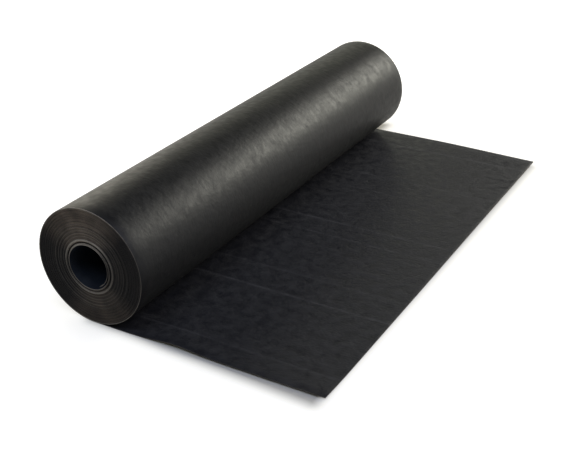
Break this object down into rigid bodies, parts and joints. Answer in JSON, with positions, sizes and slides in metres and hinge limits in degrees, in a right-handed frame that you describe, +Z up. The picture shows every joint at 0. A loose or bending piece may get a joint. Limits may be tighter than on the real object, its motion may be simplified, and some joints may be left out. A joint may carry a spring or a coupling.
{
  "type": "roll of rubber membrane",
  "caption": "Roll of black rubber waterproofing membrane lying on its side, its outer end run out flat along the floor, with an open bore through the winding.",
  "frame": {"origin": "on the floor, under the middle of the box round the roll and its flat stretch", "axes": "+Y along the roll's axis, away from the viewer; +X the way the membrane is run out; +Z up"},
  "size_m": [0.54, 1, 0.2097],
  "materials": {
    "membrane": "satin"
  },
  "bodies": {
    "root": {"membrane_roll": "membrane"}
  },
  "joints": []
}
